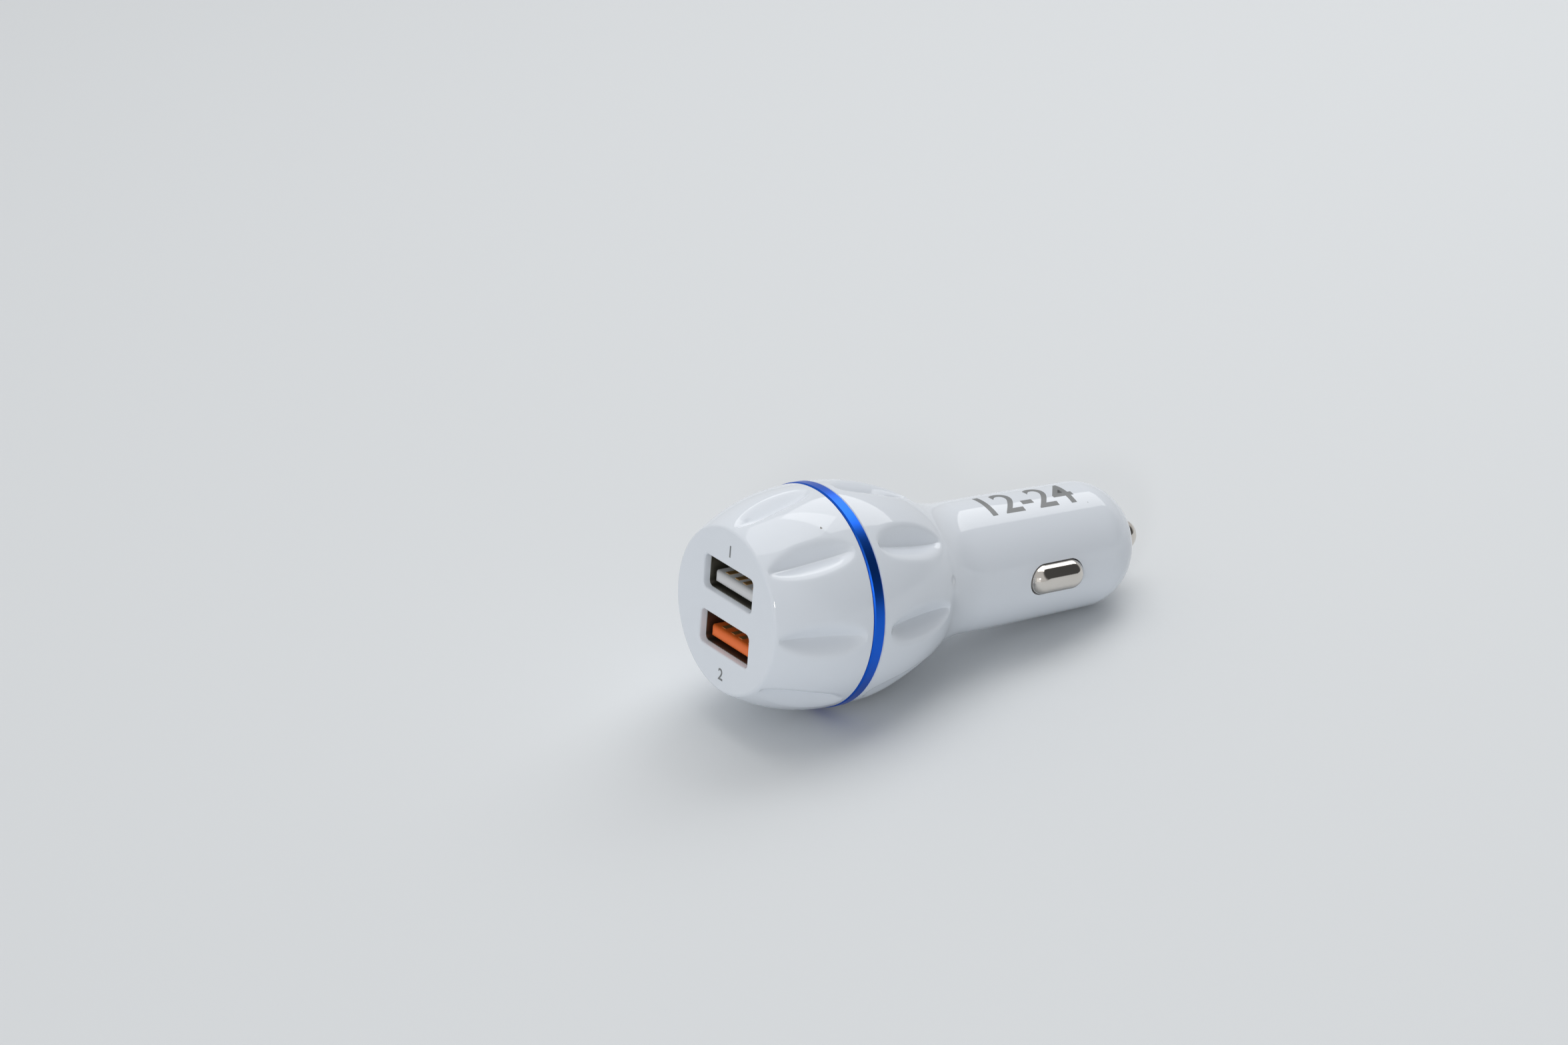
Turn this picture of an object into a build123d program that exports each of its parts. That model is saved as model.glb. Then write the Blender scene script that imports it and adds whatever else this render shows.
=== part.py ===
from build123d import *
from math import atan, cos, degrees, radians, sin, sqrt, tan
import os

# Car charger plug with two USB-A sockets: a bulb-shaped head in two halves, a trim ring between
# them, and a barrel with a sprung tip and two sprung side contacts.
# The pieces are drawn along the plug's own axis: Y runs from the flat front face (Y = 0) to the
# tip, X is to the right of the sockets, Z is up. At the end the plug is laid down as it lies on a
# table, on its bulb and its nose, with the origin on the table under the middle.

# Head: front cover, trim ring and the bulb of the rear housing
head_radius = 17.2
face_radius = 12.9
face_rounding = 1.3
face_plate = 2.0
front_length = 15.1
front_wall = 2.5
ring_width = 1.95
ring_wall = 1.6
ring_proud = 0.12
edge_break = 0.2
spigot_wall = 1.4
spigot_reach = 2.2
rear_length = 19.7
rear_wall = 2.6
fit_gap = 0.05

# Finger dimples in both halves of the bulb: ovals with two sloping flanks that meet in a crease.
# The half widths are in the plane through a dimple's two ends.
dimple_count = 8
dimple_slope = 30.0
front_dimple_margin = 1.3
front_dimple_start = 0.7
front_dimple_half_width = 1.3
rear_dimple_margin = 1.4
rear_dimple_run_out = 4.6
rear_dimple_half_width = 1.9

# Barrel and nose of the rear housing
barrel_radius = 10.4
neck_fillet = 16.0
land_length = 11.8
taper_length = 18.5
nose_radius = 10.1
nose_length = 8.9
nose_wall = 2.0
bore_radius = 8.6
guide_length = 8.0
guide_height = 1.0
guide_depth = 1.8
guide_gap = 0.06

# Inside of the front cover: ribs that seat the port board
rib_count = 8
rib_thickness = 1.2
rib_inner_radius = 12.4
rib_root = 0.8

# USB-A sockets, one above the other, both the same way up
port_pitch = 8.85
port_width = 12.5
port_height = 5.12
port_corner = 0.8
window_margin = 0.12
window_lip = 1.3
window_lead = 0.5
shell_wall = 0.3
shell_corner = 0.6
shell_gap = 0.06
shell_leg_width = 1.6
shell_leg_reach = 0.8
spring_slot_width = 0.4
spring_tab_width = 1.6
spring_tab_length = 4.0
spring_tab_spacing = 5.6
spring_tab_start = 2.4
tongue_width = 11.1
tongue_thickness = 1.84
tongue_lift = 0.62
tongue_setback = 1.6
tongue_rounding = 0.7
block_length = 3.2
block_gap = 0.05
pin_width = 1.0
pin_thickness = 0.25
pin_proud = 0.1
pin_setback = 0.9
pin_reach = 0.7
pin_inner_spacing = 2.0
pin_outer_spacing = 7.0

# Boards
board_thickness = 1.2
board_gap = 0.1
port_board_front = 13.0
tab_width = 3.0
tab_spacing = 9.0
main_board_width = 15.6
tail_width = 11.2
tail_length = 15.2
board_corner = 0.8

# Parts on the main board, with places along the axis from the port board's back
can_radius = 3.15
can_height = 5.2
can_neck = 0.25
can_neck_place = 0.9
can_neck_width = 0.5
can_base = 6.6
can_base_height = 0.7
output_can_place = 6.2
input_can_place = 19.5
drum_radius = 4.6
drum_post_radius = 2.2
drum_flange = 1.1
drum_height = 6.0
winding_inset = 0.5
drum_place = 9.2
chip_length = 4.9
chip_width = 3.9
chip_height = 1.4
chip_lift = 0.15
leg_count = 4
leg_pitch = 1.27
leg_width = 0.42
leg_thickness = 0.2
leg_reach = 1.05
leg_foot = 0.6
buck_place = 15.0
charge_place = 26.0
ceramic_place = 21.0
diode_length = 4.3
diode_width = 3.6
diode_height = 2.2
diode_tab = 1.0
diode_tab_thickness = 0.25
diode_place = 28.0
small_length = 2.0
small_width = 1.25
resistor_height = 0.5
ceramic_height = 1.0
small_pitch = 2.4

# Centre tip and its spring
tip_radius = 2.65
tip_reach = 3.5
tip_running_gap = 0.08
tip_flange_radius = 3.6
tip_flange = 1.0
tip_stop_gap = 0.05
tip_tail_radius = 1.45
tip_tail = 3.0
pocket_radius = 3.9
pocket_wall = 1.2
pocket_floor = 3.3
pocket_depth = 7.0
wire_radius = 0.25
spring_radius = 2.2
spring_turns = 4.5
wire_sides = 6
spring_gap = 0.05

# Side contacts and their bowed springs
pill_length = 10.2
pill_width = 4.9
pill_proud = 1.6
pill_rounding = 2.3
pill_wall = 0.45
pill_gap = 0.15
pill_place = 7.0
flange_margin = 0.8
flange_thickness = 0.45
flange_gap = 0.08
bow_width = 1.5
bow_thickness = 0.25
bow_gap = 0.15
bow_side = 0.8

# Stations along the axis
ring_front = front_length
ring_rear = ring_front + ring_width
neck = ring_rear + rear_length
land_end = neck + land_length
nose_start = land_end + taper_length
nose_end = nose_start + nose_length
pill_center = land_end + pill_place
spigot_end = ring_rear + spigot_reach
port_board_back = port_board_front + board_thickness

# Radii that fit into each other
ring_radius = head_radius + ring_proud
ring_bore = ring_radius - ring_wall
spigot_radius = ring_bore - fit_gap
spigot_bore = spigot_radius - spigot_wall


def bulge_radius(drop, run):
    """Radius of an arc that starts level and falls by drop over run."""
    return (drop**2 + run**2) / (2 * drop)


front_bulge = bulge_radius(head_radius - face_radius, front_length)
rear_bulge = bulge_radius(head_radius - barrel_radius, rear_length)


def front_surface(y, wall=0.0):
    """Radius of the front half of the bulb at y, wall deep under its surface."""
    return head_radius - front_bulge + sqrt((front_bulge - wall)**2 - (ring_front - y)**2)


def rear_surface(y, wall=0.0):
    """Radius of the rear half of the bulb at y, wall deep under its surface."""
    return head_radius - rear_bulge + sqrt((rear_bulge - wall)**2 - (y - ring_rear)**2)


def bulb_arc(surface, start, end, wall=0.0):
    """Arc along one half of the bulb, as an edge in the plane of radius and axis."""
    points = [(surface(y, wall), y) for y in (start, (start + end) / 2, end)]
    return ThreePointArc(*points)


def turned(*lines):
    """Solid of revolution about the plug's axis."""
    edges = [edge for line in lines for edge in line.edges()]
    return revolve(make_face(edges), Axis.Y)


def tube(radius, start, end):
    """Round bar along the axis from start to end."""
    return extrude(Plane((0, start, 0), z_dir=(0, 1, 0)) * Circle(radius), end - start)


def facing(y, z=0.0):
    """Sketch plane across the axis at y, with X to the right and Y up, extruding to the tip."""
    return Plane((0, y, z), x_dir=(1, 0, 0), z_dir=(0, -1, 0))


def block(x, y, z):
    """Box between two limits along each axis, given as pairs."""
    size = [abs(high - low) for low, high in (x, y, z)]
    middle = [(low + high) / 2 for low, high in (x, y, z)]
    return Pos(*middle) * Box(*size)


def circles_at(shape, y):
    """Round edges of a turned shape that lie at y."""
    near = shape.edges().filter_by(GeomType.CIRCLE)
    return near.filter_by_position(Axis.Y, y - fit_gap, y + fit_gap)


def dimples(surface, start, end, half_width):
    """Ring of cutters for one half of the bulb: ovals whose two sloping flanks meet in a crease."""
    near = Vector(surface(start), start)
    chord = Vector(surface(end), end) - near
    slope = radians(dimple_slope)
    drop = 2 * half_width * tan(slope)
    oval = Ellipse(chord.length / 2, half_width)
    leaning = Pos(0, -2 * half_width, -drop) * oval
    flank = extrude(leaning, 2 * drop / sin(slope), dir=(0, cos(slope), sin(slope))) + extrude(oval, drop)
    flank &= block((-chord.length, chord.length), (0, 4 * half_width), (-drop, drop))
    cutter = Plane(near + chord / 2, x_dir=chord, z_dir=(chord.Y, -chord.X, 0)) * (flank + mirror(flank, Plane.XZ))
    return [Rot(Y=360 / dimple_count * i) * cutter for i in range(dimple_count)]


def between_dimples(shape):
    """Turn a round shape so that its seam lies between two dimples."""
    return Rot(Y=180 / dimple_count) * shape


# Front cover: one moulding with the face, both windows, the spigot and the ribs inside
cover = turned(
    Polyline((face_radius, 0), (0, 0), (0, ring_front), (head_radius, ring_front)),
    bulb_arc(front_surface, 0, ring_front))
cover = fillet(circles_at(cover, 0), face_rounding)
cover = chamfer(circles_at(cover, ring_front), edge_break)
cover = between_dimples(cover) - dimples(
    front_surface, front_dimple_start, ring_front - front_dimple_margin, front_dimple_half_width)


def front_cavity(wall):
    """Space inside the front cover, wall deep under its surface."""
    return between_dimples(turned(
        Polyline((front_surface(face_plate, wall), face_plate), (0, face_plate), (0, ring_front),
                 (front_surface(ring_front, wall), ring_front)),
        bulb_arc(front_surface, face_plate, ring_front, wall)))


rib = block((rib_inner_radius, head_radius), (face_plate, port_board_front),
            (-rib_thickness / 2, rib_thickness / 2))
rib_step = 360 / rib_count
ribs = [Rot(Y=rib_step * (i + 0.5)) * rib for i in range(rib_count)]
cover -= front_cavity(front_wall)
cover += tube(spigot_radius, ring_front - spigot_wall, spigot_end) - front_cavity(front_wall)
cover -= tube(spigot_bore, ring_front - spigot_wall, spigot_end)
cover += [one & front_cavity(front_wall - rib_root) for one in ribs]

shell_width = port_width + 2 * shell_wall
shell_height = port_height + 2 * shell_wall


def window(grow):
    """Outline of a window in the face, grown all round."""
    margin = window_margin + grow
    return RectangleRounded(port_width + 2 * margin, port_height + 2 * margin, port_corner + grow)


socket = RectangleRounded(shell_width + 2 * shell_gap, shell_height + 2 * shell_gap, shell_corner)
port_heights = {"upper": port_pitch / 2, "lower": -port_pitch / 2}
for z in port_heights.values():
    cover -= extrude(facing(0, z) * window(0), -face_plate)
    cover -= loft([facing(0, z) * window(window_lead), facing(window_lead, z) * window(0)])
    cover -= extrude(facing(window_lip, z) * socket, -face_plate)

# Trim ring: turned aluminium, pinched between the two mouldings
ring = tube(ring_radius, ring_front, ring_rear) - tube(ring_bore, ring_front, ring_rear)
outer_corners = [edge for y in (ring_front, ring_rear) for edge in circles_at(ring, y)
                 if edge.radius > ring_bore + fit_gap]
ring = chamfer(outer_corners, edge_break)

# Rear housing: one moulding from the trim ring to the nose
housing = turned(
    Polyline((0, nose_end), (0, ring_rear), (head_radius, ring_rear)),
    bulb_arc(rear_surface, ring_rear, neck),
    Polyline((barrel_radius, neck), (barrel_radius, land_end), (nose_radius, nose_start)),
    EllipticalCenterArc((0, nose_start), nose_radius, nose_length, 0, arc_size=90))
housing = chamfer(circles_at(housing, ring_rear), edge_break)
housing = fillet(circles_at(housing, neck), neck_fillet)
housing = between_dimples(housing) - dimples(
    rear_surface, ring_rear + rear_dimple_margin, neck - rear_dimple_run_out, rear_dimple_half_width)

mouth_end = spigot_end + board_gap
bulb_bottom = ring_rear + sqrt((rear_bulge - rear_wall)**2 - (bore_radius - head_radius + rear_bulge)**2)
housing -= between_dimples(turned(
    Polyline((0, ring_rear), (ring_bore, ring_rear), (ring_bore, mouth_end),
             (rear_surface(mouth_end, rear_wall), mouth_end)),
    bulb_arc(rear_surface, mouth_end, bulb_bottom, rear_wall),
    Line((bore_radius, bulb_bottom), (bore_radius, nose_start)),
    EllipticalCenterArc((0, nose_start), bore_radius, nose_length - nose_wall, 0, arc_size=90),
    Line((0, nose_end - nose_wall), (0, ring_rear))))
pocket_end = nose_end - pocket_floor
pocket_start = pocket_end - pocket_depth
housing += tube(pocket_radius + pocket_wall, pocket_start, pocket_end)
housing -= tube(pocket_radius, pocket_start, pocket_end)
housing -= tube(tip_radius + tip_running_gap, pocket_end, nose_end)

# Guides for the main board's edges, and the slots of the side contacts
guide_start = bulb_bottom
guide_inner = main_board_width / 2 + board_gap - guide_depth
guide_low = board_thickness / 2 + guide_gap
guide = block((guide_inner, bore_radius), (guide_start, guide_start + guide_length),
              (guide_low, guide_low + guide_height))
for turn in (0, 180):
    for side in (guide, mirror(guide, Plane.XY)):
        housing += Rot(Y=turn) * side


def pill_outline(grow):
    """Outline of a side contact, seen from outside, grown all round."""
    outside = Plane((0, pill_center, 0), x_dir=(0, 1, 0), z_dir=(1, 0, 0))
    return outside * SlotOverall(pill_length + 2 * grow, pill_width + 2 * grow)


housing -= extrude(pill_outline(pill_gap), 2 * barrel_radius, both=True)

# USB sockets: a drawn steel shell, a moulded insulator and four plated pins each
tongue_bottom = tongue_lift - port_height / 2
tongue_top = tongue_bottom + tongue_thickness
tongue_front = tongue_setback
block_front = port_board_front - block_length
pin_places = [side * spacing / 2 for spacing in (pin_outer_spacing, pin_inner_spacing) for side in (-1, 1)]
pin_front = tongue_front + pin_setback
pin_end = port_board_back + pin_reach
pin_low = tongue_top + pin_proud - pin_thickness


def strip(x, width, y, z):
    """Flat bar centred on x."""
    return block((x - width / 2, x + width / 2), y, z)


def socket_shell():
    """Shell with its contact springs lanced out of both wide walls, and a leg at each end."""
    length = port_board_front - window_lip
    shell = extrude(facing(window_lip) * RectangleRounded(shell_width, shell_height, shell_corner), -length)
    shell -= extrude(facing(window_lip) * RectangleRounded(port_width, port_height, port_corner), -length)
    start = window_lip + spring_tab_start
    end = start + spring_tab_length
    for x in (-spring_tab_spacing / 2, spring_tab_spacing / 2):
        lance = strip(x, spring_tab_width + 2 * spring_slot_width, (start, end), (-shell_height, shell_height))
        lance -= strip(x, spring_tab_width, (start + spring_slot_width, end), (-shell_height, shell_height))
        shell -= lance
    for side in (-1, 1):
        leg = strip(side * (port_width + shell_wall) / 2, shell_wall,
                    (port_board_front, port_board_back + shell_leg_reach),
                    (-shell_leg_width / 2, shell_leg_width / 2))
        shell += leg
    return shell


def socket_pins():
    """Four pins that lie on the tongue and run straight back through the board."""
    return [strip(x, pin_width, (pin_front, pin_end), (pin_low, pin_low + pin_thickness)) for x in pin_places]


def socket_tongue():
    """Insulator: a block that plugs the shell's back, and the tongue with its lead-in."""
    tongue = strip(0, tongue_width, (tongue_front, block_front), (tongue_bottom, tongue_top))
    lead_in = tongue.edges().group_by(Axis.Y)[0]
    tongue = fillet(lead_in, tongue_rounding)
    base = RectangleRounded(port_width - 2 * block_gap, port_height - 2 * block_gap, port_corner)
    tongue += extrude(facing(block_front) * base, -block_length)
    for pin in socket_pins():
        tongue -= pin
    return tongue


# Boards: the port board across the axis, and the main board along it, tabbed into the port board
port_board = tube(spigot_bore - board_gap, port_board_front, port_board_back)
for z in port_heights.values():
    for x in pin_places:
        port_board -= Pos(0, 0, z) * strip(x, pin_width + 2 * board_gap, (port_board_front, port_board_back),
                                           (pin_low - board_gap, pin_low + pin_thickness + board_gap))
    for side in (-1, 1):
        slot_height = shell_leg_width / 2 + board_gap
        port_board -= Pos(0, 0, z) * strip(side * (port_width + shell_wall) / 2, shell_wall + 2 * board_gap,
                                           (port_board_front, port_board_back), (-slot_height, slot_height))

board_low = -board_thickness / 2
board_high = board_thickness / 2
tail_start = pill_center - tail_length / 2
tail_end = pill_center + tail_length / 2
main_board = strip(0, main_board_width, (port_board_back, tail_start), (board_low, board_high))
main_board += strip(0, tail_width, (tail_start, tail_end), (board_low, board_high))
main_board = fillet(main_board.edges().filter_by(Axis.Z).group_by(Axis.Y)[-1], board_corner)
for x in (-tab_spacing / 2, tab_spacing / 2):
    main_board += strip(x, tab_width, (port_board_front, port_board_back), (board_low, board_high))
    port_board -= strip(x, tab_width + 2 * board_gap, (port_board_front, port_board_back),
                        (board_low - board_gap, board_high + board_gap))


# Parts soldered to the main board, drawn standing on Z = 0 and then set on either side of it
def can_capacitor():
    """Round can with a rolled neck, on a square base with two cut corners."""
    base = extrude(Rectangle(can_base, can_base), can_base_height)
    base = chamfer(base.edges().filter_by(Axis.Z).group_by(Axis.Y)[0], can_base_height)
    can = Pos(0, 0, can_base_height) * extrude(Circle(can_radius), can_height)
    groove = Circle(can_radius) - Circle(can_radius - can_neck)
    can -= Pos(0, 0, can_base_height + can_neck_place) * extrude(groove, can_neck_width)
    return base + can


def drum_core():
    """Ferrite drum: two flanges and the post between them."""
    flange = extrude(Circle(drum_radius), drum_flange)
    post = extrude(Circle(drum_post_radius), drum_height)
    return flange + post + Pos(0, 0, drum_height - drum_flange) * flange


def drum_winding():
    """Copper winding between the flanges."""
    turns = Circle(drum_radius - winding_inset) - Circle(drum_post_radius)
    return Pos(0, 0, drum_flange) * extrude(turns, drum_height - 2 * drum_flange)


def chip():
    """Small-outline chip with gull-wing legs along both long sides."""
    body = Pos(0, 0, chip_lift + chip_height / 2) * Box(chip_length, chip_width, chip_height)
    body = chamfer(body.edges().group_by(Axis.Z)[-1], leg_thickness)
    knee = chip_lift + chip_height / 2
    inner = chip_width / 2
    outer = inner + leg_reach
    bend = outer - leg_foot
    profile = Polyline((inner, knee), (bend, knee), (bend, leg_thickness), (outer, leg_thickness), (outer, 0),
                       (bend - leg_thickness, 0), (bend - leg_thickness, knee - leg_thickness),
                       (inner, knee - leg_thickness), close=True)
    side = extrude(Plane.YZ * make_face(profile), leg_width / 2, both=True)
    row = (leg_count - 1) / 2
    for i in range(leg_count):
        leg = Pos((i - row) * leg_pitch, 0, 0) * side
        body += leg
        body += mirror(leg, Plane.XZ)
    return body


def diode():
    """Moulded rectifier with a flat tab folded under each end."""
    body = Pos(0, 0, diode_tab_thickness + diode_height / 2) * Box(diode_length, diode_width, diode_height)
    body = chamfer(body.edges().group_by(Axis.Z)[-1], diode_tab_thickness)
    for side in (-1, 1):
        reach = diode_length / 2 + diode_tab / 2
        body += block((side * reach, side * (reach - diode_tab)), (-diode_width / 4, diode_width / 4),
                      (0, diode_tab_thickness))
    return body


def small_parts(height, places):
    """Row of little end-capped chips, one at each place."""
    return [Pos(x, y, 0) * extrude(Rectangle(small_width, small_length), height) for x, y in places]


def on_board(piece, place, top):
    """Stand a piece, or each of a list, on one side of the main board."""
    spot = Pos(0, port_board_back + place, board_high) if top else Pos(0, port_board_back + place, board_low)
    turn = Rot() if top else Rot(Y=180)
    return [spot * turn * one for one in piece] if isinstance(piece, list) else spot * turn * piece


resistor_places = [(side * (chip_length / 2 + small_pitch), i * small_pitch) for side in (-1, 1) for i in range(3)]
ceramic_places = [(i * small_pitch, 0) for i in (-1, 0, 1)]

# Centre tip: turned and plated, held in by its flange, pushed out by a coil spring on the board's end
flange_back = pocket_end - tip_stop_gap
flange_front = flange_back - tip_flange
tip_end = nose_end + tip_reach
tip = turned(
    Polyline((0, tip_end), (0, flange_front - tip_tail), (tip_tail_radius, flange_front - tip_tail),
             (tip_tail_radius, flange_front), (tip_flange_radius, flange_front),
             (tip_flange_radius, flange_back), (tip_radius, flange_back), (tip_radius, tip_end - tip_radius)),
    CenterArc((0, tip_end - tip_radius), tip_radius, 0, 90))

coil_start = tail_end + spring_gap + wire_radius
coil_end = flange_front - spring_gap - wire_radius
coil_path = Helix((coil_end - coil_start) / spring_turns, coil_end - coil_start, spring_radius,
                  center=(0, coil_start, 0), direction=(0, 1, 0))
wire = Plane(coil_path @ 0, z_dir=coil_path % 0) * RegularPolygon(wire_radius, wire_sides)
coil = sweep(wire, path=coil_path, is_frenet=True)

# Side contacts: drawn pills on a flange that stops against the bore, with a bowed spring behind
flange_half = pill_width / 2 + flange_margin
flange_outer = sqrt(bore_radius**2 - flange_half**2) - flange_gap
flange_inner = flange_outer - flange_thickness
pill_top = barrel_radius + pill_proud


def pill_block(shrink):
    """Pill from the flange's back to its crown, smaller all round by shrink."""
    height = pill_top - shrink - flange_inner
    pill = Pos(flange_inner, 0, 0) * extrude(pill_outline(-shrink), height)
    crown = pill.faces().sort_by(Axis.X)[-1].edges()
    return fillet(crown, pill_rounding - shrink)


flange_sheet = pill_outline(flange_margin)
contact = Pos(flange_inner, 0, 0) * extrude(flange_sheet, flange_thickness)
contact += pill_block(0)
contact -= pill_block(pill_wall)

bow_seat = tail_width / 2 + bow_gap
bow_crown = pill_top - pill_wall - bow_gap
bow_half = pill_length / 2 - pill_wall - bow_side


def bow_arc(inset):
    """Half ellipse from foot to foot of a side spring, inset by part of its thickness."""
    return EllipticalCenterArc((bow_seat, pill_center), bow_crown - bow_seat - inset, bow_half - inset, -90, arc_size=180)


outer_arch = bow_arc(0)
inner_arch = bow_arc(bow_thickness)
feet = [Line(outer_arch @ end, inner_arch @ end) for end in (0, 1)]
bow = extrude(make_face([outer_arch, inner_arch, *feet]), bow_width / 2, both=True)

# Every piece by the name it is kept under
pieces = {
    "front_cover": cover,
    "trim_ring": ring,
    "rear_housing": housing,
    "port_board": port_board,
    "main_board": main_board,
    "output_capacitor": on_board(can_capacitor(), output_can_place, True),
    "input_capacitor": on_board(can_capacitor(), input_can_place, False),
    "inductor_core": on_board(drum_core(), drum_place, False),
    "inductor_winding": on_board(drum_winding(), drum_place, False),
    "buck_controller": on_board(chip(), buck_place, True),
    "charge_controller": on_board(chip(), charge_place, True),
    "rectifier_diode": on_board(diode(), diode_place, False),
    "chip_resistors": on_board(small_parts(resistor_height, resistor_places), buck_place, True),
    "chip_capacitors": on_board(small_parts(ceramic_height, ceramic_places), ceramic_place, True),
    "tip_contact": tip,
    "tip_spring": coil,
    "ground_contact_right": contact,
    "ground_contact_left": Rot(Y=180) * contact,
    "ground_spring_right": bow,
    "ground_spring_left": Rot(Y=180) * bow,
}
for name, z in port_heights.items():
    pieces["usb_shell_" + name] = Pos(0, 0, z) * socket_shell()
    pieces["usb_tongue_" + name] = Pos(0, 0, z) * socket_tongue()
    pieces["usb_pins_" + name] = [Pos(0, 0, z) * pin for pin in socket_pins()]

# Lay the plug down: tip it forward until the rims of the lowest dimple and the nose touch the table
head = housing & tube(head_radius, ring_rear, neck)
lean = 0.0
for _ in range(5):
    head_low = (Rot(X=-degrees(lean)) * head).bounding_box().min.Z
    nose_low = -nose_start * sin(lean) - sqrt((nose_radius * cos(lean))**2 + (nose_length * sin(lean))**2)
    lean += atan((nose_low - head_low) / (nose_start - ring_rear))
laid = Rot(X=-degrees(lean))
limits = [(laid * pieces[name]).bounding_box() for name in ("front_cover", "trim_ring", "rear_housing", "tip_contact")]
front = min(box.min.Y for box in limits)
back = max(box.max.Y for box in limits)
low = min(box.min.Z for box in limits)
rest = Pos(0, -(front + back) / 2, -low) * laid

os.makedirs("parts", exist_ok=True)
for name, piece in pieces.items():
    solids = piece if isinstance(piece, list) else [piece]
    export_step(rest * Compound(children=solids) if len(solids) > 1 else rest * solids[0], f"parts/{name}.step")
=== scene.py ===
import bmesh
import bpy
from math import acos, asin, atan2, cos, pi, radians, sin, sqrt
from mathutils import Matrix, Vector


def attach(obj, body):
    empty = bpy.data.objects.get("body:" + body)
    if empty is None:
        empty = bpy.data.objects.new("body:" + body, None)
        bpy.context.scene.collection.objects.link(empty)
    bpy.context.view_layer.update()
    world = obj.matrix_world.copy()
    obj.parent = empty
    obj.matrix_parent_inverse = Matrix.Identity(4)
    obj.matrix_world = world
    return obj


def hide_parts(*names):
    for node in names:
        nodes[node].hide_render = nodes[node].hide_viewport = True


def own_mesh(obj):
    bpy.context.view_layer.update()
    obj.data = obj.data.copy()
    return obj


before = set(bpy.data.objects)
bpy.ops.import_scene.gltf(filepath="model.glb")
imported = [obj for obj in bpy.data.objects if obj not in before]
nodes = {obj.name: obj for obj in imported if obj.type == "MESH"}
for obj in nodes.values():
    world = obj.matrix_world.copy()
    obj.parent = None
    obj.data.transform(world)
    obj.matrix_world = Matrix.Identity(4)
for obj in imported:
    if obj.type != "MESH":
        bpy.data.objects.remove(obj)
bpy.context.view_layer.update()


# Front cover: the front half of the bulb, with the flat face, two port windows and a spigot behind.
# One moulding in glossy cool-white plastic from a polished tool, with a few specks from handling.
# It is drawn in millimetres along the plug's own axis, then laid down with the plug.
plug_lean = radians(8.289584)
plug_shift = Vector((0, -0.03844, 0.019744))
to_row = Matrix.Translation(plug_shift) @ Matrix.Rotation(-plug_lean, 4, "X")
millimetre = 0.001
columns = 360
head_radius = 17.2
front_bulge = 28.663
front_wall = 2.5
ring_front = 15.1
edge_break = 0.2
face_edge = 11.4
face_rounding = 0.7
rounding_centre = 12.507
rounding_turn = 59.0
front_lip_turn = 0.4
face_plate = 2.0
spigot_radius = 15.67
spigot_bore = 14.27
spigot_end = 19.25
dimple_count = 8
dimple_slope = 0.70
dimple_rim = 0.6
dimple_reach = 1.2
blunt_power = 4
taper_power = 2
front_dimple = {"near": (17.171, 13.8), "far": (13.32, 0.7), "half_width": 1.65, "crease": 0.25}
window_size = (12.74, 5.36)
window_corner = 0.5
window_rounding = 0.4
window_hold = 0.15
window_lip = 1.3
corner_segments = 8
rounding_angles = [radians(a) for a in (0, 22.5, 45, 67.5, 90)]
socket_margin = 0.24
port_heights = (4.425, -4.425)
merge_distance = 1e-4
same_height = 1e-3
sharp_angle = 24
cool_white = (0.775, 0.82, 0.88, 1)
white_cloud = (0.765, 0.81, 0.872, 1)
cloud_detail = 3
peel_strength = 0.5
speck_brown = (0.16, 0.145, 0.13, 1)
speck_grain = 5000
speck_wander = 0.0005
speck_edge = 0.00012
specks = (((8.28, 10.4, 14.63), 0.24), ((1.4, 8.6, 15.2), 0.14), ((13.9, 11.9, 9.0), 0.10),
          ((15.6, 12.6, -5.2), 0.09), ((4.6, 65.2, 9.0), 0.12))


def new_finish(name):
    """Empty procedural material with its shader, and a texture vector along the plug's own axes."""
    material = bpy.data.materials.new(name)
    material.use_nodes = True
    tree = material.node_tree
    shader = tree.nodes["Principled BSDF"]
    coordinates = tree.nodes.new("ShaderNodeTexCoord")
    along = tree.nodes.new("ShaderNodeMapping")
    along.vector_type = "TEXTURE"
    along.inputs["Location"].default_value = plug_shift
    along.inputs["Rotation"].default_value = (-plug_lean, 0, 0)
    tree.links.new(coordinates.outputs["Object"], along.inputs["Vector"])
    return material, tree, shader, along.outputs["Vector"]


def group_of(name, inputs, outputs):
    """Empty node group with named float, colour or vector sockets."""
    kinds = {"f": "NodeSocketFloat", "c": "NodeSocketColor", "v": "NodeSocketVector"}
    group = bpy.data.node_groups.new(name, "ShaderNodeTree")
    for socket, kind, value in inputs:
        group.interface.new_socket(socket, in_out="INPUT", socket_type=kinds[kind]).default_value = value
    for socket, kind in outputs:
        group.interface.new_socket(socket, in_out="OUTPUT", socket_type=kinds[kind])
    return group, group.nodes.new("NodeGroupInput").outputs, group.nodes.new("NodeGroupOutput").inputs


def place_group(tree, group, vector, **values):
    """Group node in a material, with its texture vector linked and its values set."""
    node = tree.nodes.new("ShaderNodeGroup")
    node.node_tree = group
    tree.links.new(vector, node.inputs["Vector"])
    for socket, value in values.items():
        node.inputs[socket].default_value = value
    return node


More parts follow.
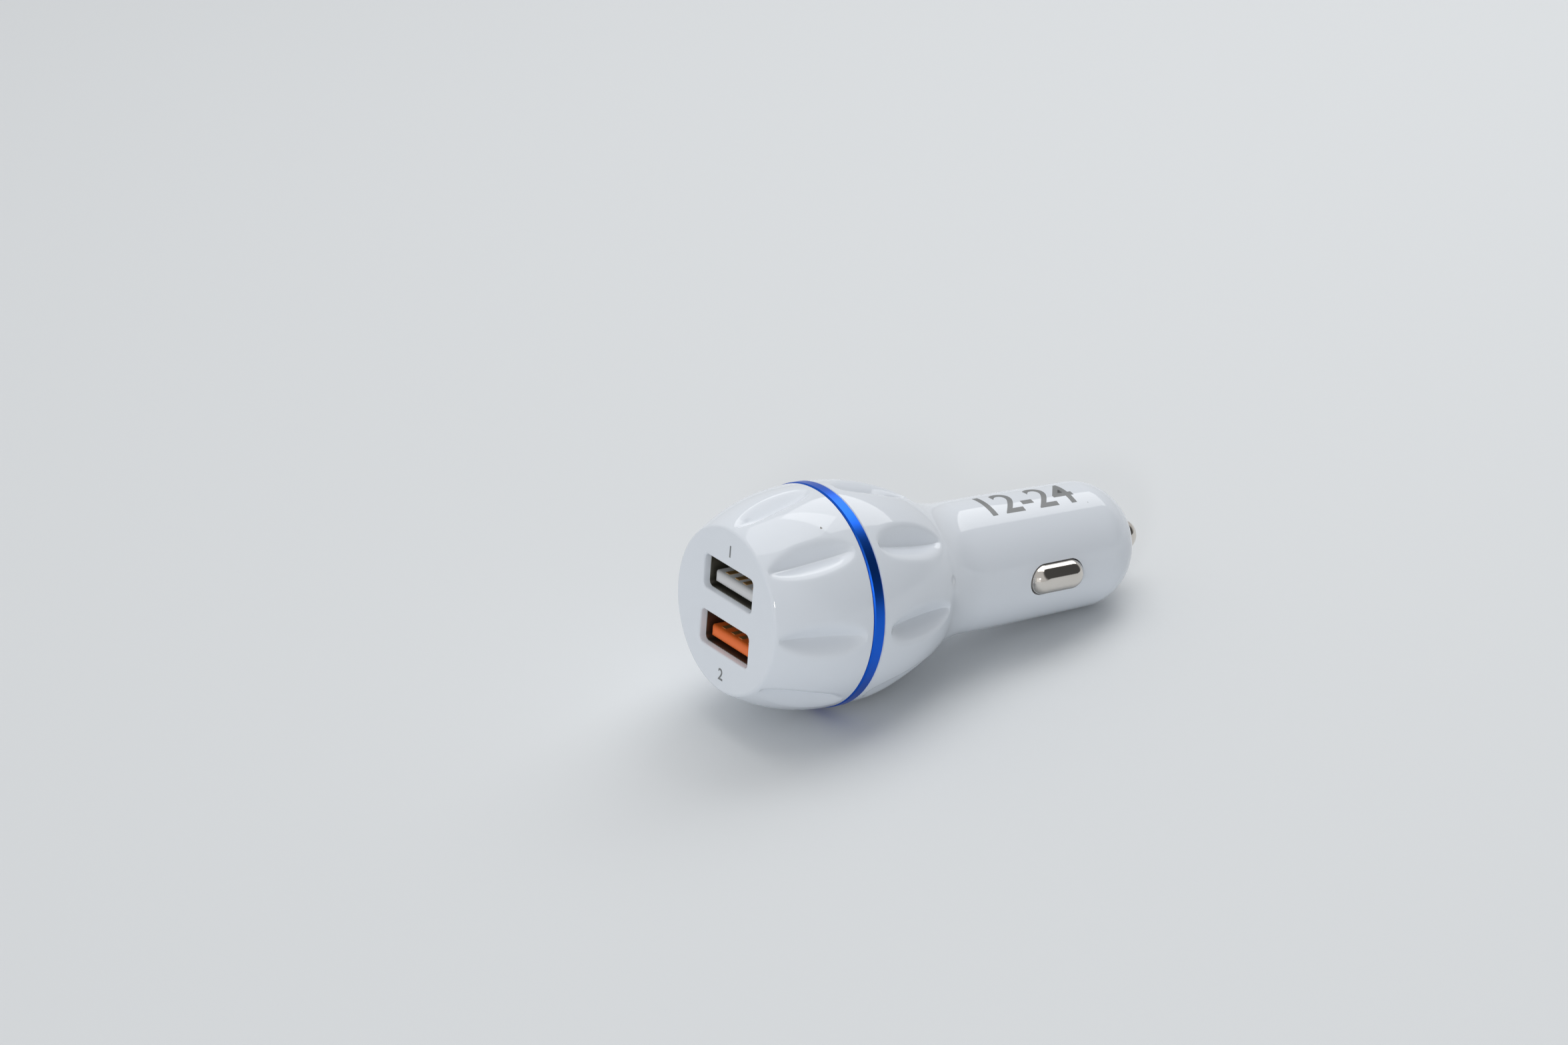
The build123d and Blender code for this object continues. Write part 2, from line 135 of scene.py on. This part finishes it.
moulded, given, put = group_of(
    "moulded_surface",
    [("Vector", "v", (0, 0, 0)), ("Colour", "c", (1, 1, 1, 1)), ("Shade", "c", (0.5, 0.5, 0.5, 1)),
     ("Cloud", "f", 120.0), ("Gloss", "f", 0.15), ("Spread", "f", 0.05), ("Peel", "f", 900.0)],
    [("Colour", "c"), ("Roughness", "f"), ("Height", "f")])
cloud = moulded.nodes.new("ShaderNodeTexNoise")
cloud.inputs["Detail"].default_value = cloud_detail
blend = moulded.nodes.new("ShaderNodeMix")
blend.data_type = "RGBA"
rough = moulded.nodes.new("ShaderNodeMapRange")
roughest = moulded.nodes.new("ShaderNodeMath")
peel = moulded.nodes.new("ShaderNodeTexNoise")
for source, target in (
        (given["Vector"], cloud.inputs["Vector"]), (given["Cloud"], cloud.inputs["Scale"]),
        (cloud.outputs["Fac"], blend.inputs["Factor"]), (given["Colour"], blend.inputs["A"]),
        (given["Shade"], blend.inputs["B"]), (given["Gloss"], roughest.inputs[0]),
        (given["Spread"], roughest.inputs[1]), (cloud.outputs["Fac"], rough.inputs["Value"]),
        (given["Gloss"], rough.inputs["To Min"]), (roughest.outputs["Value"], rough.inputs["To Max"]),
        (given["Vector"], peel.inputs["Vector"]), (given["Peel"], peel.inputs["Scale"]),
        (blend.outputs["Result"], put["Colour"]), (rough.outputs["Result"], put["Roughness"]),
        (peel.outputs["Fac"], put["Height"])):
    moulded.links.new(source, target)

speck, given, put = group_of(
    "speck_of_dirt",
    [("Vector", "v", (0, 0, 0)), ("Place", "v", (0, 0, 0)), ("Size", "f", 0.0002)],
    [("Mask", "f")])
ragged = speck.nodes.new("ShaderNodeTexNoise")
ragged.inputs["Scale"].default_value = speck_grain
reach = speck.nodes.new("ShaderNodeVectorMath")
reach.operation = "DISTANCE"
loose = speck.nodes.new("ShaderNodeMath")
loose.operation = "MULTIPLY_ADD"
loose.inputs[1].default_value = speck_wander
inside = speck.nodes.new("ShaderNodeMath")
inside.operation = "SUBTRACT"
mask = speck.nodes.new("ShaderNodeMapRange")
mask.inputs["From Max"].default_value = speck_edge
for source, target in (
        (given["Vector"], ragged.inputs["Vector"]), (given["Vector"], reach.inputs[0]),
        (given["Place"], reach.inputs[1]), (ragged.outputs["Fac"], loose.inputs[0]),
        (given["Size"], loose.inputs[2]), (loose.outputs["Value"], inside.inputs[0]),
        (reach.outputs["Value"], inside.inputs[1]), (inside.outputs["Value"], mask.inputs["Value"]),
        (mask.outputs["Result"], put["Mask"])):
    speck.links.new(source, target)


def moulded_finish(name, colour, cloudy, gloss, spread, cloud_scale, peel_scale, peel_height):
    """Moulded plastic: clouded colour and gloss, with the fine peel of the tool's surface."""
    material, tree, shader, along = new_finish(name)
    skin = place_group(tree, moulded, along, Colour=colour, Shade=cloudy, Cloud=cloud_scale,
                       Gloss=gloss, Spread=spread, Peel=peel_scale)
    bump = tree.nodes.new("ShaderNodeBump")
    bump.inputs["Strength"].default_value = peel_strength
    bump.inputs["Distance"].default_value = peel_height
    tree.links.new(skin.outputs["Colour"], shader.inputs["Base Color"])
    tree.links.new(skin.outputs["Roughness"], shader.inputs["Roughness"])
    tree.links.new(skin.outputs["Height"], bump.inputs["Height"])
    tree.links.new(bump.outputs["Normal"], shader.inputs["Normal"])
    return material


white_gloss = moulded_finish("white_gloss", cool_white, white_cloud, gloss=0.035, spread=0.02,
                             cloud_scale=90, peel_scale=420, peel_height=3e-6)
tree = white_gloss.node_tree
shader = tree.nodes["Principled BSDF"]
along = tree.nodes["Mapping"].outputs["Vector"]
shown = shader.inputs["Base Color"].links[0].from_socket
for place, size in specks:
    spot = place_group(tree, speck, along, Place=Vector(place) * millimetre,
                       Size=size * millimetre - speck_wander / 2)
    stain = tree.nodes.new("ShaderNodeMix")
    stain.data_type = "RGBA"
    stain.inputs["B"].default_value = speck_brown
    tree.links.new(spot.outputs["Mask"], stain.inputs["Factor"])
    tree.links.new(shown, stain.inputs["A"])
    shown = stain.outputs["Result"]
tree.links.new(shown, shader.inputs["Base Color"])


def arc_on(build, last, centre, angle, steps):
    """Carry a profile on round a centre from its last vertex, and give the new last vertex."""
    swept = bmesh.ops.spin(build, geom=[last], cent=(*centre, 0), axis=(0, 0, 1), angle=angle, steps=steps,
                           use_duplicate=False)
    return next(v for v in swept["geom_last"] if isinstance(v, bmesh.types.BMVert))


def line_on(build, last, point, steps):
    """Carry a profile on in a straight line to a point, in even steps."""
    stride = (Vector((*point, 0)) - last.co) / steps
    for _ in range(steps):
        grown = bmesh.ops.extrude_vert_indiv(build, verts=[last])
        last = grown["verts"][0]
        bmesh.ops.translate(build, verts=[last], vec=stride)
    return last


def turn_round(build):
    """Spin a whole profile once round the plug's axis."""
    bmesh.ops.spin(build, geom=build.verts[:] + build.edges[:], cent=(0, 0, 0), axis=(0, 1, 0),
                   angle=2 * pi, steps=columns, use_merge=True, use_duplicate=False)
    bmesh.ops.remove_doubles(build, verts=build.verts[:], dist=merge_distance)


def press_dimples(build, near, far, half_width, crease):
    """Push the skin in at every dimple: two flanks slope down to a crease, inside a soft rim.

    The outline is an oval that is blunt at its near end, by the ring, and tapers at its far end.
    """
    near = Vector(near)
    chord = Vector(far) - near
    outward = Vector((abs(chord.y), -chord.x * chord.y / abs(chord.y))).normalized()
    for v in build.verts:
        radius = sqrt(v.co.x**2 + v.co.z**2)
        place = atan2(v.co.z, v.co.x) * dimple_count / (2 * pi)
        turn = (place - round(place)) * 2 * pi / dimple_count
        from_end = Vector((radius * cos(turn), v.co.y)) - near
        along = 2 * from_end.dot(chord) / chord.length_squared - 1
        power = blunt_power if along < 0 else taper_power
        oval = sqrt(abs(1 - abs(along)**power)) * (1 if abs(along) < 1 else -1)
        across = sqrt((radius * sin(turn))**2 + crease**2)
        rise = from_end.dot(outward) + dimple_slope * (half_width * oval - across)
        if rise > -dimple_rim and abs(along) < dimple_reach:
            sink = rise if rise > dimple_rim else (rise + dimple_rim)**2 / (4 * dimple_rim)
            v.co.x *= 1 - sink / radius
            v.co.z *= 1 - sink / radius


def make_piece(build, name, material, crease):
    """Lay a finished bmesh down with the plug as a new object that rides on it."""
    bmesh.ops.recalc_face_normals(build, faces=build.faces[:])
    bmesh.ops.transform(build, matrix=to_row @ Matrix.Scale(millimetre, 4), verts=build.verts[:])
    mesh = bpy.data.meshes.new(name)
    build.to_mesh(mesh)
    build.free()
    mesh.shade_smooth()
    mesh.set_sharp_from_angle(angle=radians(crease))
    mesh.materials.append(material)
    piece = bpy.data.objects.new(name, mesh)
    bpy.context.scene.collection.objects.link(piece)
    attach(piece, "plug")
    return piece


cover = bmesh.new()
first = cover.verts.new((face_edge, 0, 0))
last = line_on(cover, first, (rounding_centre, 0), steps=2)
last = arc_on(cover, last, (rounding_centre, face_rounding), radians(rounding_turn), steps=8)
bulb_turn = radians(90 - rounding_turn - front_lip_turn)
last = arc_on(cover, last, (head_radius - front_bulge, ring_front), bulb_turn, steps=48)
last = line_on(cover, last, (head_radius - edge_break, ring_front), steps=1)
for point in ((spigot_radius, ring_front), (spigot_radius, spigot_end), (spigot_bore, spigot_end),
              (spigot_bore, ring_front), (head_radius - front_wall, ring_front)):
    last = line_on(cover, last, point, steps=1)
cavity_turn = asin((ring_front - face_plate) / (front_bulge - front_wall))
arc_on(cover, last, (head_radius - front_bulge, ring_front), -cavity_turn, steps=24)
turn_round(cover)
press_dimples(cover, **front_dimple)
rims = {y: [e for e in cover.edges if e.is_boundary and abs(e.verts[0].co.y - y) < same_height]
        for y in (0.0, face_plate)}
reveal = [(window_rounding * (1 - cos(a)), window_rounding * (1 - sin(a))) for a in rounding_angles]
reveal += [(window_lip, 0), (window_lip, socket_margin), (face_plate, socket_margin)]
for z in port_heights:
    grow = window_rounding + window_hold
    width, height = (side + 2 * grow for side in window_size)
    upright = Matrix.Diagonal((width, 1, height, 1)) @ Matrix.Rotation(pi / 2, 4, "X")
    outline = bmesh.ops.create_grid(cover, x_segments=1, y_segments=1, size=0.5,
                                    matrix=Matrix.Translation((0, 0, z)) @ upright)
    bmesh.ops.bevel(cover, geom=outline["verts"], offset=window_corner + grow, offset_type="OFFSET",
                    affect="VERTICES", segments=corner_segments, profile=0.5, material=-1)
    face = next(f for f in cover.faces if len(f.verts) > corner_segments)
    loop = face.edges[:]
    bmesh.ops.delete(cover, geom=[face], context="FACES_ONLY")
    rims[0.0] += loop
    for depth, spare in reveal:
        wall = bmesh.ops.extrude_edge_only(cover, edges=loop)["geom"]
        ring = [v for v in wall if isinstance(v, bmesh.types.BMVert)]
        loop = [e for e in wall if isinstance(e, bmesh.types.BMEdge) and e.is_boundary]
        inner = [(side + 2 * spare) / (side + 2 * grow) for side in window_size]
        grow = spare
        bmesh.ops.scale(cover, verts=ring, vec=(inner[0], 1, inner[1]), space=Matrix.Translation((0, 0, -z)))
        bmesh.ops.translate(cover, verts=ring, vec=(0, depth - ring[0].co.y, 0))
    rims[face_plate] += loop
for rim in rims.values():
    bmesh.ops.triangle_fill(cover, edges=rim, use_beauty=True, use_dissolve=False, normal=(0, -1, 0))
front_cover_skin = make_piece(cover, "front_cover_skin", white_gloss, sharp_angle)
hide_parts("front_cover")


# Trim ring: a turned aluminium hoop, anodised blue, pinched between the two halves of the bulb.
# Satin, with the fine lines of the lathe tool running round it.
ring_blue = (0.015, 0.13, 0.72, 1)
line_pitch = 9000.0
line_detail = 1
line_strength = 0.4
line_depth = 4e-6
metal_cloud = 0.88
turned_lines, given, put = group_of(
    "turned_lines", [("Vector", "v", (0, 0, 0)), ("Pitch", "f", line_pitch)], [("Height", "f")])
split = turned_lines.nodes.new("ShaderNodeSeparateXYZ")
feed = turned_lines.nodes.new("ShaderNodeTexNoise")
feed.noise_dimensions = "1D"
feed.inputs["Detail"].default_value = line_detail
for source, target in (
        (given["Vector"], split.inputs["Vector"]), (split.outputs["Y"], feed.inputs["W"]),
        (given["Pitch"], feed.inputs["Scale"]), (feed.outputs["Fac"], put["Height"])):
    turned_lines.links.new(source, target)


def metal_finish(name, colour, roughness, spread, cloud_scale):
    """Bare or plated metal with a slightly clouded colour and sheen."""
    material, tree, shader, along = new_finish(name)
    cloudy = tuple(metal_cloud * c for c in colour[:3]) + (1,)
    skin = place_group(tree, moulded, along, Colour=colour, Shade=cloudy, Cloud=cloud_scale,
                       Gloss=roughness, Spread=spread)
    tree.links.new(skin.outputs["Colour"], shader.inputs["Base Color"])
    tree.links.new(skin.outputs["Roughness"], shader.inputs["Roughness"])
    shader.inputs["Metallic"].default_value = 1
    return material


blue_anodised = metal_finish("blue_anodised", ring_blue, roughness=0.30, spread=0.08, cloud_scale=300)
tree = blue_anodised.node_tree
lines = place_group(tree, turned_lines, tree.nodes["Mapping"].outputs["Vector"], Pitch=line_pitch)
bump = tree.nodes.new("ShaderNodeBump")
bump.inputs["Strength"].default_value = line_strength
bump.inputs["Distance"].default_value = line_depth
tree.links.new(lines.outputs["Height"], bump.inputs["Height"])
tree.links.new(bump.outputs["Normal"], tree.nodes["Principled BSDF"].inputs["Normal"])
nodes["trim_ring"].data.materials[0] = blue_anodised


# Rear housing: the rear half of the bulb, drawn out into the barrel that goes into the socket.
# One moulding in the same white plastic, with a slot on each side for a contact and a hole for the tip.
ring_rear = 17.05
rear_bulge = 31.936
rear_wall = 2.6
neck_radius = 16.0
barrel_radius = 10.4
land_end = 48.55
nose_radius = 10.1
nose_start = 67.05
nose_length = 8.9
bore_radius = 8.6
bore_nose = 6.9
mouth_radius = 15.72
mouth_end = 19.35
tip_hole = 2.73
hole_edge = 0.25
pocket = {"floor": 72.65, "radius": 3.9, "start": 65.65, "outside": 5.1}
slot_centre = 55.55
slot_size = (10.5, 5.2)
slot_start = 6
slot_depth = 6
slot_segments = 48
rear_dimple = {"near": (17.169, 18.45), "far": (13.405, 32.15), "half_width": 2.1, "crease": 0.1}


def oval_on(build, last, centre, angle, steps, stretch):
    """Carry a profile on round a quarter of an oval, which is a circle stretched along the axis."""
    before = set(build.verts)
    last = arc_on(build, last, (0, centre), angle, steps)
    bmesh.ops.scale(build, verts=[v for v in build.verts if v not in before], vec=(1, stretch, 1),
                    space=Matrix.Translation((0, -centre, 0)))
    return last


housing = bmesh.new()
neck_span = barrel_radius + neck_radius - head_radius + rear_bulge
neck_height = sqrt((rear_bulge + neck_radius)**2 - neck_span**2)
neck_turn = asin(neck_height / (rear_bulge + neck_radius))
lip_turn = asin(edge_break / rear_bulge)
bulb_centre = (head_radius - rear_bulge, ring_rear)
first = housing.verts.new((head_radius - edge_break, ring_rear, 0))
lip_radius = head_radius - rear_bulge * (1 - cos(lip_turn))
last = line_on(housing, first, (lip_radius, ring_rear + edge_break), steps=1)
last = arc_on(housing, last, bulb_centre, neck_turn - lip_turn, steps=64)
last = arc_on(housing, last, (barrel_radius + neck_radius, ring_rear + neck_height), -neck_turn, steps=28)
last = line_on(housing, last, (barrel_radius, land_end), steps=8)
last = line_on(housing, last, (nose_radius, nose_start), steps=16)
nose_turn = acos((tip_hole + hole_edge) / nose_radius)
last = oval_on(housing, last, nose_start, nose_turn, steps=36, stretch=nose_length / nose_radius)
last = line_on(housing, last, (tip_hole, last.co.y - hole_edge), steps=1)
for point in ((tip_hole, pocket["floor"]), (pocket["radius"], pocket["floor"]),
              (pocket["radius"], pocket["start"]), (pocket["outside"], pocket["start"])):
    last = line_on(housing, last, point, steps=1)
inner = line_on(housing, first, (mouth_radius, ring_rear), steps=1)
inner = line_on(housing, inner, (mouth_radius, mouth_end), steps=1)
cavity_bulge = rear_bulge - rear_wall
cavity_start = asin((mouth_end - ring_rear) / cavity_bulge)
cavity_turn = acos((bore_radius - head_radius + rear_bulge) / cavity_bulge) - cavity_start
cavity_rim = head_radius - rear_bulge + cavity_bulge * cos(cavity_start)
inner = line_on(housing, inner, (cavity_rim, mouth_end), steps=1)
inner = arc_on(housing, inner, bulb_centre, cavity_turn, steps=24)
inner = line_on(housing, inner, (bore_radius, nose_start), steps=1)
bore_turn = acos(pocket["outside"] / bore_radius)
inner = oval_on(housing, inner, nose_start, bore_turn, steps=12, stretch=bore_nose / bore_radius)
housing.edges.new((inner, last))
turn_round(housing)
press_dimples(housing, **rear_dimple)
rear_housing_skin = make_piece(housing, "rear_housing_skin", white_gloss, sharp_angle)
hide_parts("rear_housing")


def carve(piece, build, crease):
    """Cut a shape, drawn along the plug's axis, out of a piece for good."""
    bmesh.ops.recalc_face_normals(build, faces=build.faces[:])
    bmesh.ops.transform(build, matrix=to_row @ Matrix.Scale(millimetre, 4), verts=build.verts[:])
    mesh = bpy.data.meshes.new("cutter")
    build.to_mesh(mesh)
    build.free()
    cutter = bpy.data.objects.new("cutter", mesh)
    bpy.context.scene.collection.objects.link(cutter)
    cut = piece.modifiers.new("cut", "BOOLEAN")
    cut.operation = "DIFFERENCE"
    cut.object = cutter
    cut.solver = "MANIFOLD"
    whole = piece.evaluated_get(bpy.context.evaluated_depsgraph_get())
    carved = bpy.data.meshes.new_from_object(whole)
    piece.modifiers.clear()
    piece.data = carved
    bpy.data.objects.remove(cutter)
    carved.shade_smooth()
    carved.set_sharp_from_angle(angle=radians(crease))


slots = bmesh.new()
bmesh.ops.create_circle(slots, cap_ends=True, segments=slot_segments, radius=slot_size[1] / 2,
                        matrix=Matrix.Rotation(pi / 2, 4, "Y") @ Matrix.Rotation(pi / slot_segments, 4, "Z"))
for side in (-1, 1):
    end = [v for v in slots.verts if v.co.y * side > 0]
    bmesh.ops.translate(slots, verts=end, vec=(0, side * (slot_size[0] - slot_size[1]) / 2, 0))
bmesh.ops.translate(slots, verts=slots.verts[:], vec=(slot_start, slot_centre, 0))
wall = bmesh.ops.extrude_face_region(slots, geom=slots.faces[:])["geom"]
outer = [v for v in wall if isinstance(v, bmesh.types.BMVert)]
bmesh.ops.translate(slots, verts=outer, vec=(slot_depth, 0, 0))
bmesh.ops.mirror(slots, geom=slots.verts[:] + slots.edges[:] + slots.faces[:], axis="X", merge_dist=-1)
carve(rear_housing_skin, slots, sharp_angle)


# USB sockets: a drawn steel shell, a moulded tongue and four plated pins each, soldered to the port board.
# The upper tongue is white and the lower one orange, so the two ports can be told apart.
tongue_surface = {"gloss": 0.40, "spread": 0.1, "cloud_scale": 200, "peel_scale": 900, "peel_height": 8e-6}
# The shell steel is coloured dark olive-brown, much darker than the steel's own colour: painted shade for
# the dim inside of the ports.
port_steel = metal_finish("port_steel", (0.25, 0.24, 0.20, 1), roughness=0.35, spread=0.1, cloud_scale=200)
pin_gold = metal_finish("pin_gold", (0.80, 0.52, 0.22, 1), roughness=0.50, spread=0.1, cloud_scale=200)
white_tongue = moulded_finish("white_tongue", (0.70, 0.71, 0.72, 1), (0.66, 0.67, 0.68, 1), **tongue_surface)
orange_tongue = moulded_finish("orange_tongue", (0.93, 0.19, 0.03, 1), (0.90, 0.17, 0.026, 1),
                               **tongue_surface)
for port, tongue in (("upper", white_tongue), ("lower", orange_tongue)):
    nodes["usb_shell_" + port].data.materials[0] = port_steel
    nodes["usb_tongue_" + port].data.materials[0] = tongue
    nodes["usb_pins_" + port].data.materials[0] = pin_gold


# Boards and what is soldered on them: the port board across the plug, the main board along it.
# Glass-fibre board with green mask, aluminium cans, a wound ferrite core, black packages and chip parts.
board_green = moulded_finish("board_green", (0.012, 0.12, 0.045, 1), (0.010, 0.10, 0.04, 1), gloss=0.30,
                             spread=0.1, cloud_scale=300, peel_scale=1500, peel_height=6e-6)
can_aluminium = metal_finish("can_aluminium", (0.70, 0.70, 0.71, 1), roughness=0.28, spread=0.1,
                             cloud_scale=200)
ferrite = moulded_finish("ferrite", (0.030, 0.030, 0.033, 1), (0.022, 0.022, 0.024, 1), gloss=0.55,
                         spread=0.2, cloud_scale=400, peel_scale=2500, peel_height=2e-5)
copper = metal_finish("copper", (0.62, 0.22, 0.085, 1), roughness=0.25, spread=0.1, cloud_scale=400)
chip_black = moulded_finish("chip_black", (0.016, 0.016, 0.018, 1), (0.012, 0.012, 0.013, 1), gloss=0.45,
                            spread=0.1, cloud_scale=400, peel_scale=3000, peel_height=8e-6)
ceramic_tan = moulded_finish("ceramic_tan", (0.42, 0.27, 0.13, 1), (0.38, 0.24, 0.11, 1), gloss=0.40,
                             spread=0.1, cloud_scale=400, peel_scale=2500, peel_height=4e-6)
for name, material in (
        ("port_board", board_green), ("main_board", board_green), ("output_capacitor", can_aluminium),
        ("input_capacitor", can_aluminium), ("inductor_core", ferrite), ("inductor_winding", copper),
        ("buck_controller", chip_black), ("charge_controller", chip_black), ("rectifier_diode", chip_black),
        ("chip_resistors", chip_black), ("chip_capacitors", ceramic_tan)):
    nodes[name].data.materials[0] = material


# Tip and side contacts: the sprung tip takes the supply, the two pressed pills the ground.
# Nickel-plated brass, bright, on a coil of bare steel wire and two bowed strips that give as they slide in.
spring_merge = 1e-6
spring_sharp = 30
nickel = metal_finish("nickel", (0.74, 0.70, 0.65, 1), roughness=0.06, spread=0.05, cloud_scale=300)
spring_steel = metal_finish("spring_steel", (0.50, 0.50, 0.51, 1), roughness=0.25, spread=0.1,
                            cloud_scale=300)
from_row = (to_row @ Matrix.Scale(millimetre, 4)).inverted()
for name in ("tip_contact", "ground_contact_right", "ground_contact_left"):
    nodes[name].data.materials[0] = nickel
for name, visual, joint, way, travel in (
        ("tip_spring", "tip_coil", "tip_slide", (0, 1, 0), 2.5),
        ("ground_spring_right", "ground_bow_right", "contact_right_slide", (1, 0, 0), 1.4),
        ("ground_spring_left", "ground_bow_left", "contact_left_slide", (-1, 0, 0), 1.4)):
    way = Vector(way)
    build = bmesh.new()
    build.from_mesh(nodes[name].data)
    bmesh.ops.remove_doubles(build, verts=build.verts[:], dist=spring_merge)
    bmesh.ops.transform(build, matrix=from_row, verts=build.verts[:])
    reach = [v.co.dot(way) for v in build.verts]
    spring = make_piece(build, visual, spring_steel, spring_sharp)
    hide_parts(name)
    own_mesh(spring)


# Print: the ports are numbered on the face, and the barrel has its supply range in volts along the top.
# Pad-printed grey ink, a thin film on the plastic.
ink_depth = 0.03
curve_steps = 6
face_number = {"size": 2.6, "weight": 0.04}
barrel_number = {"size": 8.2, "weight": 0.1}
mark_middle = 54.5
mark_turn = radians(80)
mark_strips = 8
strip_height = 0.4
ink_surface = {"spread": 0.1, "cloud_scale": 900, "peel_scale": 3000, "peel_height": 2e-6}
face_grey = moulded_finish("face_grey", (0.20, 0.21, 0.22, 1), (0.18, 0.19, 0.20, 1), gloss=0.35,
                           **ink_surface)
barrel_grey = moulded_finish("barrel_grey", (0.19, 0.20, 0.205, 1), (0.175, 0.185, 0.19, 1), gloss=0.30,
                             **ink_surface)


def flat_number(text, size, weight):
    """Number as a bmesh in the XY plane, centred, with the ink's thickness along Z."""
    letters = bpy.data.curves.new("number", "FONT")
    letters.body = text
    letters.size = size
    letters.align_x = "CENTER"
    letters.align_y = "CENTER"
    letters.extrude = ink_depth / 2
    letters.offset = weight
    letters.resolution_u = curve_steps
    holder = bpy.data.objects.new("number", letters)
    mesh = bpy.data.meshes.new_from_object(holder)
    bpy.data.objects.remove(holder)
    build = bmesh.new()
    build.from_mesh(mesh)
    bpy.data.meshes.remove(mesh)
    bmesh.ops.remove_doubles(build, verts=build.verts[:], dist=merge_distance)
    return build


for name, text, place in (("port_number_upper", "1", (0.2, 0, 9.5)),
                          ("port_number_lower", "2", (0, 0, -10.4))):
    number = flat_number(text, **face_number)
    upright = Matrix.Translation(place) @ Matrix.Rotation(pi / 2, 4, "X")
    bmesh.ops.transform(number, matrix=upright, verts=number.verts[:])
    make_piece(number, name, face_grey, sharp_angle)

mark = flat_number("12-24", **barrel_number)
for i in range(-mark_strips, mark_strips + 1):
    bmesh.ops.bisect_plane(mark, geom=mark.verts[:] + mark.edges[:] + mark.faces[:],
                           plane_co=(0, strip_height * i, 0), plane_no=(0, 1, 0))
barrel_taper = (barrel_radius - nose_radius) / (nose_start - land_end)
for v in mark.verts:
    place = mark_middle + v.co.x
    radius = barrel_radius - barrel_taper * max(0, place - land_end)
    turn = mark_turn + v.co.y / radius
    v.co = ((radius + v.co.z) * cos(turn), place, (radius + v.co.z) * sin(turn))
make_piece(mark, "barrel_number", barrel_grey, sharp_angle)


# Studio: a pale paper floor under an overhead softbox, with a panel behind, and a broad fill and a small
# catch lamp on the camera's side.
# The room round it is pale apart from one dark corner, which shows in the gloss and in the nickel.
floor_grey = (0.745, 0.77, 0.79, 1)
floor_half = 3
floor_roughness = 0.8
floor_sheen = 0.2
room_light = 0.58
dark_corner = (0.600, 0.600, 0.529)
corner_light = 0.07
corner_fade = (0.64, 0.86)
camera_lens = 85
camera_sensor = 36
camera_place = (0.4165, -0.303676, 0.268989)
camera_turn = (64.5101, 2.5693, 55.1892)
build = bmesh.new()
bmesh.ops.create_grid(build, x_segments=1, y_segments=1, size=floor_half)
floor_mesh = bpy.data.meshes.new("floor")
build.to_mesh(floor_mesh)
build.free()
paper = bpy.data.materials.new("paper")
paper.use_nodes = True
shader = paper.node_tree.nodes["Principled BSDF"]
shader.inputs["Base Color"].default_value = floor_grey
shader.inputs["Roughness"].default_value = floor_roughness
shader.inputs["Specular IOR Level"].default_value = floor_sheen
floor_mesh.materials.append(paper)
floor = bpy.data.objects.new("floor", floor_mesh)
bpy.context.scene.collection.objects.link(floor)

for name, place, size, power in (
        ("softbox", (-0.12, 0.10, 0.80), 0.65, 1.85),
        ("back_panel", (-0.26, 0.60, 0.755), 0.66, 2.5),
        ("camera_fill", (0.60, -0.85, 0.22), 0.6, 0.4),
        ("catch_lamp", (0.45, -0.42, 0.26), 0.05, 0.5)):
    lamp = bpy.data.lights.new(name, "AREA")
    lamp.shape = "SQUARE"
    lamp.size = size
    lamp.energy = power
    lamp_object = bpy.data.objects.new(name, lamp)
    lamp_object.location = place
    lamp_object.rotation_euler = (-Vector(place)).to_track_quat("-Z", "Y").to_euler()
    bpy.context.scene.collection.objects.link(lamp_object)

world = bpy.data.worlds.new("room")
world.use_nodes = True
tree = world.node_tree
sky = tree.nodes.new("ShaderNodeTexCoord")
toward = tree.nodes.new("ShaderNodeVectorMath")
toward.operation = "DOT_PRODUCT"
toward.inputs[1].default_value = dark_corner
fade = tree.nodes.new("ShaderNodeMapRange")
fade.interpolation_type = "SMOOTHSTEP"
for socket, value in (("From Min", corner_fade[0]), ("From Max", corner_fade[1]),
                      ("To Min", room_light), ("To Max", corner_light)):
    fade.inputs[socket].default_value = value
tree.links.new(sky.outputs["Generated"], toward.inputs[0])
tree.links.new(toward.outputs["Value"], fade.inputs["Value"])
tree.links.new(fade.outputs["Result"], tree.nodes["Background"].inputs["Strength"])
tree.nodes["Background"].inputs["Color"].default_value = (1, 1, 1, 1)
bpy.context.scene.world = world

camera = bpy.data.cameras.new("photo_camera")
camera.lens = camera_lens
camera.sensor_width = camera_sensor
camera_object = bpy.data.objects.new("photo_camera", camera)
camera_object.location = camera_place
camera_object.rotation_euler = [radians(angle) for angle in camera_turn]
bpy.context.scene.collection.objects.link(camera_object)
bpy.context.scene.camera = camera_object
bpy.context.scene.view_settings.view_transform = "Standard"
